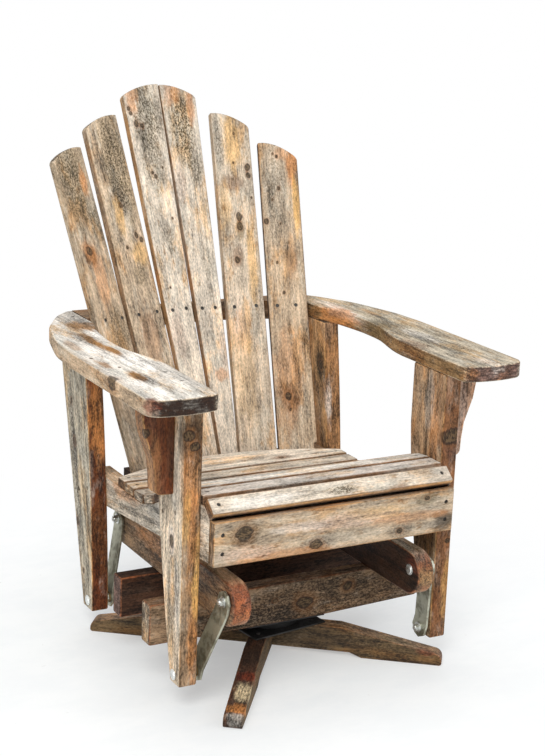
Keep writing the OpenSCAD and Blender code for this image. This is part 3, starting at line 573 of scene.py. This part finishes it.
# Display colours of stains
TINTS = {
    "olive": (104, 92, 62), "dark": (48, 36, 26), "orange": (196, 130, 72), "gold": (214, 166, 96),
    "brown": (128, 86, 52), "pink": (226, 196, 176), "grey": (168, 164, 156), "white": (240, 234, 226),
    "ochre": (150, 108, 60), "red": (120, 50, 26), "purple": (84, 56, 50), "tan": (140, 108, 84),
    "cream": (222, 200, 160),
}

# Tones of each board's faces, sides and ends. Besides the wood's own tones they hold painted light and shade: faces
# turned up to the light are paler, sides and undersides darker, and the boards low under the seat are painted dark for
# the shade there.
LIT_AND_SHADED_LOOKS = {
    "apron": ("weathered", "tan", "dun"),
    "arm_left": ("frost", "straw", "soot"),
    "arm_right": ("stone", "oak", "clay"),
    "back_slat_1": ("weathered", "weathered", "walnut"),
    "back_slat_2": ("weathered", "tan", "walnut"),
    "back_slat_3": ("chalk", "amber", "walnut"),
    "back_slat_4": ("chalk", "tan", "walnut"),
    "back_slat_5": ("driftwood", "weathered", "walnut"),
    "back_slat_6": ("weathered", "soot", "walnut"),
    "bracket_left": ("rust", "cinnamon", "bark"),
    "bracket_right": ("rose", "umber", "bark"),
    "cross_beam_front": ("tan", "umber", "weathered"),
    "cross_beam_rear": ("bark", "soot", "clay"),
    "foot_beam_a": ("peat", "bark", "bark"),
    "foot_beam_b": ("peat", "dun", "umber"),
    "front_leg_left": ("cream", "tan", "walnut"),
    "front_leg_right": ("dun", "russet", "walnut"),
    "lower_back_rail": ("bark", "bark", "bark"),
    "nose_slat": ("chalk", "honey", "cinnamon"),
    "rear_leg_left": ("stone", "rust", "walnut"),
    "rear_leg_right": ("amber", "cinnamon", "walnut"),
    "rear_seat_slat": ("chalk", "tan", "umber"),
    "seat_rail_left": ("silver", "straw", "umber"),
    "seat_rail_right": ("tan", "dun", "umber"),
    "seat_slat_1": ("pewter", "umber", "walnut"),
    "seat_slat_2": ("frost", "umber", "walnut"),
    "seat_slat_3": ("driftwood", "umber", "walnut"),
    "seat_slat_4": ("driftwood", "umber", "walnut"),
    "seat_slat_5": ("silver", "umber", "walnut"),
    "seat_slat_6": ("silver", "umber", "cream"),
    "seat_slat_7": ("silver", "umber", "driftwood"),
    "seat_slat_8": ("silver", "umber", "straw"),
    "side_rail_left": ("tan", "dun", "terracotta"),
    "side_rail_right": ("soot", "stone", "amber"),
    "upper_back_rail": ("tan", "soot", "walnut"),
}

# Knots (place in the row frame, radius in mm) and stains (place, half length and half width in mm, tint, strength,
# and True where it is mottled)
MARKS = {
    "apron": [
        (-0.203, -0.416, 0.368, 12),
        (-0.203, -0.416, 0.368, 34, 18, "olive", 0.7, True),
        (-0.047, -0.416, 0.326, 8),
        (-0.047, -0.416, 0.326, 36, 12, "dark", 0.6, True),
        (0.141, -0.416, 0.327, 5),
        (0.141, -0.416, 0.327, 30, 13, "dark", 0.5, True),
        (0.202, -0.416, 0.387, 4),
        (0.203, -0.416, 0.385, 24, 12, "olive", 0.5),
        (0.242, -0.416, 0.334, 24, 22, "dark", 0.7),
        (0.027, -0.416, 0.364, 120, 12, "pink", 0.5),
        (-0.125, -0.416, 0.315, 110, 9, "orange", 0.5),
        (0.16, -0.416, 0.352, 90, 10, "orange", 0.4),
        (-0.2, -0.416, 0.33, 60, 12, "pink", 0.5),
        (0.094, -0.416, 0.371, 70, 12, "gold", 0.35),
        (-0.084, -0.416, 0.365, 60, 9, "white", 0.3),
        (-0.079, -0.404, 0.399, 160, 4, "orange", 0.6),
    ],
    "arm_left": [
        (-0.297, 0.076, 0.647, 40, 20, "white", 0.8),
        (-0.316, -0.173, 0.647, 75, 22, "white", 0.9),
        (-0.352, -0.079, 0.647, 60, 14, "white", 0.8),
        (-0.371, -0.313, 0.647, 30, 12, "white", 0.8),
        (-0.364, -0.380, 0.647, 40, 10, "white", 0.5),
        (-0.330, 0.008, 0.647, 70, 10, "ochre", 1.0),
        (-0.340, 0.03, 0.647, 60, 16, "dark", 0.7, True),
        (-0.322, -0.073, 0.647, 44, 8, "ochre", 1.0),
        (-0.300, 0.133, 0.647, 45, 26, "ochre", 0.9),
        (-0.30, 0.16, 0.647, 60, 30, "dark", 0.5, True),
        (-0.382, -0.165, 0.647, 35, 9, "ochre", 0.75),
        (-0.358, -0.266, 0.647, 40, 10, "ochre", 1.0),
        (-0.352, -0.29, 0.647, 50, 12, "dark", 0.6, True),
        (-0.408, -0.262, 0.646, 11),
        (-0.382, -0.009, 0.647, 40, 10, "ochre", 0.5),
        (-0.386, -0.115, 0.647, 3),
        (-0.363, -0.195, 0.647, 2.5),
        (-0.402, -0.419, 0.636, 20, 14, "red", 0.7),
    ],
    "arm_right": [
        (0.297, 0.098, 0.647, 90, 16, "white", 0.55),
        (0.331, -0.170, 0.647, 60, 18, "white", 0.5),
        (0.336, -0.409, 0.647, 40, 20, "white", 0.4),
        (0.320, -0.301, 0.647, 40, 10, "dark", 0.5, True),
        (0.33, -0.1, 0.647, 200, 40, "olive", 0.5, True),
        (0.346, 0.051, 0.647, 40, 8, "ochre", 0.5),
        (0.286, 0.094, 0.629, 70, 30, "orange", 0.7),
        (0.295, -0.055, 0.641, 40, 30, "olive", 0.4),
        (0.266, -0.230, 0.646, 50, 30, "brown", 0.7, True),
        (0.280, -0.426, 0.631, 24, 12, "orange", 0.6),
    ],
    "back_slat_1": [
        (-0.255, 0.310, 0.926, 110, 34, "olive", 0.85, True),
        (-0.225, 0.316, 0.914, 32, 9, "orange", 0.6),
        (-0.241, 0.247, 0.780, 7.5),
        (-0.242, 0.243, 0.774, 27, 15, "orange", 0.75),
        (-0.243, 0.305, 0.905, 2.6),
        (-0.222, 0.230, 0.728, 75, 18, "orange", 0.45),
        (-0.194, 0.189, 0.618, 55, 26, "olive", 0.6, True),
        (-0.210, 0.282, 0.828, 40, 15, "olive", 0.5, True),
    ],
    "back_slat_2": [
        (-0.132, 0.360, 0.943, 125, 30, "olive", 0.9, True),
        (-0.136, 0.326, 0.872, 40, 18, "dark", 0.6, True),
        (-0.138, 0.320, 0.862, 3.5),
        (-0.110, 0.297, 0.799, 4.5),
        (-0.099, 0.295, 0.790, 4.5),
        (-0.138, 0.280, 0.777, 3),
        (-0.107, 0.281, 0.764, 28, 18, "gold", 0.55),
        (-0.118, 0.259, 0.723, 30, 14, "olive", 0.6, True),
        (-0.114, 0.199, 0.594, 70, 22, "brown", 0.5),
        (-0.145, 0.310, 0.842, 45, 10, "gold", 0.45),
    ],
    "back_slat_3": [
        (-0.035, 0.421, 1.043, 80, 32, "olive", 0.8, True),
        (-0.065, 0.437, 1.079, 35, 14, "orange", 0.5),
        (-0.076, 0.426, 1.058, 3.5),
        (-0.073, 0.421, 1.048, 3.5),
        (-0.063, 0.412, 1.027, 5),
        (-0.051, 0.411, 1.022, 4.5),
        (-0.038, 0.377, 0.949, 70, 24, "olive", 0.55, True),
        (-0.043, 0.365, 0.924, 3),
        (-0.037, 0.361, 0.916, 3.5),
        (-0.016, 0.371, 0.934, 2),
        (-0.012, 0.322, 0.828, 2),
        (-0.046, 0.254, 0.688, 1.8),
        (-0.028, 0.302, 0.787, 35, 12, "olive", 0.4, True),
        (-0.045, 0.208, 0.591, 60, 15, "pink", 0.35),
    ],
    "back_slat_4": [
        (0.048, 0.408, 1.017, 90, 24, "olive", 0.95, True),
        (0.036, 0.443, 1.089, 28, 18, "orange", 0.45),
        (0.076, 0.426, 1.059, 42, 8, "orange", 0.6),
        (0.062, 0.365, 0.926, 35, 14, "olive", 0.7, True),
        (0.054, 0.275, 0.734, 45, 12, "olive", 0.35, True),
        (0.023, 0.354, 0.897, 45, 10, "pink", 0.35),
        (0.042, 0.168, 0.505, 14, 16, "orange", 0.5),
        (0.061, 0.189, 0.552, 50, 12, "pink", 0.3),
    ],
    "back_slat_5": [
        (0.157, 0.377, 0.991, 75, 18, "gold", 0.65),
        (0.142, 0.337, 0.900, 18, 24, "brown", 0.5),
        (0.117, 0.319, 0.849, 60, 12, "gold", 0.4),
        (0.156, 0.255, 0.732, 85, 10, "gold", 0.6),
        (0.145, 0.303, 0.828, 6.5),
        (0.143, 0.293, 0.807, 6),
        (0.143, 0.292, 0.803, 22, 9, "olive", 0.6),
        (0.182, 0.343, 0.932, 5.5),
        (0.181, 0.335, 0.915, 5),
        (0.124, 0.265, 0.738, 4.5),
        (0.125, 0.268, 0.745, 22, 12, "brown", 0.45),
        (0.152, 0.355, 0.942, 2),
        (0.164, 0.381, 1.004, 2.2),
        (0.180, 0.314, 0.868, 2),
        (0.126, 0.380, 0.983, 60, 9, "grey", 0.7, True),
        (0.103, 0.201, 0.592, 60, 14, "pink", 0.35),
        (0.10, 0.16, 0.50, 110, 26, "gold", 0.3),
    ],
    "back_slat_6": [
        (0.276, 0.306, 0.939, 48, 12, "orange", 0.8),
        (0.272, 0.270, 0.858, 70, 7, "gold", 0.75),
        (0.259, 0.325, 0.964, 16, 16, "orange", 0.5),
        (0.240, 0.333, 0.963, 2),
        (0.247, 0.327, 0.957, 2.6),
        (0.240, 0.298, 0.889, 3.2),
        (0.223, 0.294, 0.865, 2),
        (0.202, 0.281, 0.818, 4.5),
        (0.231, 0.267, 0.814, 2.2),
        (0.214, 0.206, 0.669, 3),
        (0.210, 0.237, 0.732, 2),
        (0.241, 0.227, 0.739, 45, 11, "brown", 0.4),
        (0.233, 0.299, 0.884, 120, 22, "grey", 0.6, True),
        (0.185, 0.116, 0.454, 6),
        (0.185, 0.104, 0.427, 2.5),
        (0.186, 0.114, 0.450, 26, 15, "brown", 0.4),
        (0.192, 0.135, 0.50, 90, 30, "orange", 0.35),
        (0.176, 0.10, 0.43, 60, 24, "brown", 0.35),
    ],
    "bracket_left": [
        (-0.365, -0.322, 0.553, 7),
        (-0.344, -0.322, 0.481, 70, 10, "brown", 0.7),
        (-0.314, -0.322, 0.516, 60, 8, "dark", 0.5),
    ],
    "cross_beam_front": [
        (0.039, -0.243, 0.126, 13),
        (0.139, -0.243, 0.147, 9),
        (0.098, -0.243, 0.131, 260, 46, "dark", 0.75, True),
        (-0.09, -0.243, 0.11, 160, 30, "dark", 0.8, True),
        (-0.032, -0.243, 0.142, 4),
    ],
    "foot_beam_a": [
        (-0.111, -0.299, 0.059, 40, 14, "dark", 0.7),
        (-0.152, -0.356, 0.047, 16, 18, "red", 0.8),
        (-0.183, -0.398, 0.037, 32, 14, "cream", 0.85),
        (-0.216, -0.438, 0.028, 16, 18, "orange", 0.95),
        (-0.232, -0.457, 0.020, 10, 16, "grey", 0.7),
    ],
    "foot_beam_b": [
        (0.215, -0.320, 0.042, 60, 10, "olive", 0.6),
        (0.150, -0.287, 0.040, 40, 20, "dark", 0.6, True),
        (0.260, -0.365, 0.029, 20, 8, "red", 0.5),
        (0.084, -0.237, 0.031, 60, 20, "dark", 0.5),
    ],
    "front_leg_left": [
        (-0.268, -0.362, 0.573, 3),
        (-0.305, -0.318, 0.337, 9),
        (-0.305, -0.318, 0.337, 30, 13, "white", 0.5),
        (-0.295, -0.362, 0.553, 7),
        (-0.283, -0.362, 0.532, 6),
        (-0.289, -0.362, 0.544, 50, 24, "dark", 0.7),
        (-0.291, -0.362, 0.468, 90, 14, "orange", 0.55),
        (-0.270, -0.363, 0.308, 70, 10, "gold", 0.55),
        (-0.278, -0.365, 0.148, 80, 12, "orange", 0.7),
        (-0.272, -0.363, 0.24, 60, 10, "gold", 0.6),
        (-0.285, -0.363, 0.36, 80, 10, "orange", 0.5),
        (-0.305, -0.33, 0.45, 60, 16, "grey", 0.5),
        (-0.305, -0.32, 0.15, 60, 14, "olive", 0.5, True),
        (-0.305, -0.346, 0.227, 80, 9, "white", 0.35),
        (-0.297, -0.363, 0.391, 60, 8, "gold", 0.4),
    ],
    "front_leg_right": [
        (0.289, -0.362, 0.489, 12),
        (0.293, -0.362, 0.50, 60, 12, "dark", 0.6, True),
        (0.267, -0.33, 0.50, 110, 14, "orange", 0.45),
        (0.267, -0.31, 0.55, 60, 16, "grey", 0.5),
        (0.290, -0.362, 0.479, 35, 22, "purple", 0.5),
        (0.267, -0.347, 0.560, 80, 12, "brown", 0.4),
        (0.302, -0.365, 0.155, 80, 12, "gold", 0.35),
        (0.296, -0.364, 0.265, 4),
    ],
    "nose_slat": [
        (0.017, -0.400, 0.423, 36, 9, "olive", 0.8, True),
        (0.142, -0.410, 0.412, 22, 8, "brown", 0.5),
        (-0.163, -0.399, 0.424, 70, 10, "white", 0.5),
        (0.222, -0.392, 0.429, 40, 10, "grey", 0.4),
    ],
    "rear_leg_left": [
        (-0.281, 0.092, 0.455, 100, 20, "orange", 0.7),
        (-0.284, 0.065, 0.200, 90, 20, "brown", 0.45),
        (-0.305, 0.155, 0.329, 200, 12, "grey", 0.8, True),
        (-0.305, 0.162, 0.394, 6),
        (-0.305, 0.141, 0.222, 6),
        (-0.305, 0.105, 0.121, 5),
        (-0.305, 0.181, 0.477, 4.5),
        (-0.305, 0.160, 0.370, 110, 8, "dark", 0.85, True),
    ],
    "rear_leg_right": [
        (0.267, 0.121, 0.514, 30, 18, "olive", 0.95, True),
        (0.267, 0.122, 0.519, 6.5),
        (0.274, 0.091, 0.443, 60, 8, "white", 0.45),
        (0.267, 0.116, 0.366, 50, 14, "brown", 0.4),
    ],
    "rear_seat_slat": [
        (0.113, 0.011, 0.352, 4.5),
        (0.113, 0.011, 0.352, 24, 10, "brown", 0.5),
    ],
    "seat_slat_1": [
        (-0.12, -0.36, 0.42, 120, 14, "dark", 0.6, True),
        (0.17, -0.36, 0.42, 60, 20, "grey", 0.5),
        (0.02, -0.35, 0.42, 90, 10, "white", 0.5),
    ],
    "seat_slat_2": [
        (0.0, -0.31, 0.41, 160, 12, "white", 0.5),
        (0.2, -0.31, 0.41, 60, 20, "gold", 0.4),
    ],
    "seat_slat_8": [
        (-0.05, -0.06, 0.34, 120, 12, "dark", 0.45, True),
    ],
    "seat_rail_left": [
        (-0.266, -0.2, 0.34, 90, 20, "grey", 0.6),
        (-0.266, -0.02, 0.33, 70, 16, "orange", 0.5),
        (-0.266, -0.1, 0.31, 120, 16, "dark", 0.4, True),
    ],
    "cross_beam_rear": [
        (-0.26, 0.1, 0.14, 60, 30, "brown", 0.6),
        (-0.2, 0.1, 0.12, 80, 30, "dark", 0.7, True),
    ],
    "side_rail_left": [
        (-0.210, -0.423, 0.241, 60, 30, "red", 0.6),
        (-0.228, -0.15, 0.22, 200, 40, "dark", 0.6, True),
        (-0.228, -0.05, 0.24, 90, 24, "orange", 0.35),
    ],
    "side_rail_right": [
        (0.210, -0.414, 0.253, 40, 24, "red", 0.4),
        (0.186, -0.418, 0.205, 60, 12, "dark", 0.5),
    ],
}

# By material slot: the display colour of worn edges, a painted highlight where it is pale, and the radius of the edges
# in mm
EDGES = {
    "arm_wood": (224, 206, 180), "seat_wood": (128, 92, 62), "back_wood": (142, 104, 68),
    "leg_wood": (198, 150, 96), "frame_wood": (150, 92, 58), "foot_wood": (134, 96, 66),
}
ROUNDS = {
    "arm_wood": 4.0, "seat_wood": 3.5, "back_wood": 2.5, "leg_wood": 4.0, "frame_wood": 5.0, "foot_wood": 4.0,
}

# By board, where it differs from its kind: worn edges with their painted highlight, roughness, contrast of the grain,
# and darkness of the sawn ends
EDGE_WEAR_AND_HIGHLIGHT_OF = {"back_slat_1": (214, 196, 172), "back_slat_2": (208, 188, 160), "back_slat_3": (216, 200, 178)}
PLAIN_ROUGHNESS, PLAIN_CONTRAST, PLAIN_CUT = 0.8, 1.0, 0.7
ROUGH = {
    "side_rail_left": 0.5, "side_rail_right": 0.5, "foot_beam_b": 0.6, "bracket_left": 0.6, "rear_leg_left": 0.65,
}
CONTRAST = {
    "apron": 0.85, "nose_slat": 0.8, "arm_left": 1.0, "arm_right": 1.2, "cross_beam_front": 1.5,
    "front_leg_left": 1.4, "front_leg_right": 1.6, "rear_leg_left": 1.7, "rear_leg_right": 1.6, "bracket_left": 1.5,
    "bracket_right": 1.5, "side_rail_left": 1.6, "side_rail_right": 1.6, "foot_beam_a": 1.6, "foot_beam_b": 1.8,
    "seat_rail_left": 1.4, "cross_beam_rear": 1.6, "back_slat_2": 1.2, "back_slat_6": 1.15,
}
CUTS = {"side_rail_left": 0.2, "side_rail_right": 0.3, "foot_beam_a": 0.4, "foot_beam_b": 0.4}

# Grain runs along these axes where a board's longest axis isn't exactly it
ALONG = {"arm_left": (0, 1, 0), "arm_right": (0, 1, 0), "bracket_left": (0, 0, 1), "bracket_right": (0, 0, 1)}

# The nose slat and the apron meet on edges that stay square, further through each board than this, in metres
MEETING = 0.008
ROUNDED = {"nose_slat": lambda v: v > -MEETING, "apron": lambda v: v < MEETING}

# Steel pieces with bevelled edges, in mm
BEVELS = {
    "front_link_left": 0.9, "front_link_right": 0.9, "rear_link_left": 0.9, "rear_link_right": 0.9,
    "upper_pivot_bolts": 0.9, "lower_pivot_bolts": 0.9, "upper_pivot_nuts": 0.8, "lower_pivot_nuts": 0.8,
    "swivel_lower_plate": 0.6, "swivel_upper_plate": 0.6,
}


def dress_boards():
    boards = [name for name in sorted(nodes) if slot_of_node[name].endswith("_wood")]
    for seed, name in enumerate(boards, 1):
        slot = slot_of_node[name]
        mesh = nodes[name].data
        along = ALONG.get(name)
        axes = board_axes(mesh, along)
        spread = np.array([v.co for v in mesh.vertices]) - axes[0]
        material = wood(
            "wood_" + name, seed, [TONES[tone] for tone in LIT_AND_SHADED_LOOKS[name]], MARKS.get(name, ()), axes,
            halves=[float(np.abs(spread @ k).max()) for k in axes[2:]], edge=EDGE_WEAR_AND_HIGHLIGHT_OF.get(name, EDGES[slot]),
            cut=CUTS.get(name, PLAIN_CUT), rough=ROUGH.get(name, PLAIN_ROUGHNESS),
            contrast=CONTRAST.get(name, PLAIN_CONTRAST))
        dress(name, material, ROUNDS[slot], BOARD_HOLE_MM, along, ROUNDED.get(name))


def dress_steel():
    finish = {
        "link_steel": steel("olive_zinc", (0.5, 0.5, 0.4), (0.16, 0.15, 0.1), spots=0.8),
        "pivot_steel": steel("bright_zinc", (0.8, 0.82, 0.8), (0.3, 0.29, 0.26), rough=0.3),
        "black_plate": steel("black_plate", (0.035, 0.034, 0.033), (0.015, 0.014, 0.013), rough=0.5, metallic=0.6),
        "screw_steel": steel("dull_screw", (0.09, 0.085, 0.08), (0.03, 0.025, 0.02), rough=0.6),
        "bushing_brass": steel("oiled_bronze", (0.30, 0.20, 0.09), (0.08, 0.05, 0.03), rough=0.5),
    }
    for name, node in nodes.items():
        material = finish.get(slot_of_node[name])
        if material is None:
            continue
        if name in BEVELS:
            dress(name, material, BEVELS[name], STEEL_HOLE_MM)
        else:
            node.data.materials.clear()
            node.data.materials.append(material)


make_camera()
make_lamps()
make_floor()
make_world()
bpy.context.scene.view_settings.view_transform = "Standard"
dress_boards()
dress_steel()
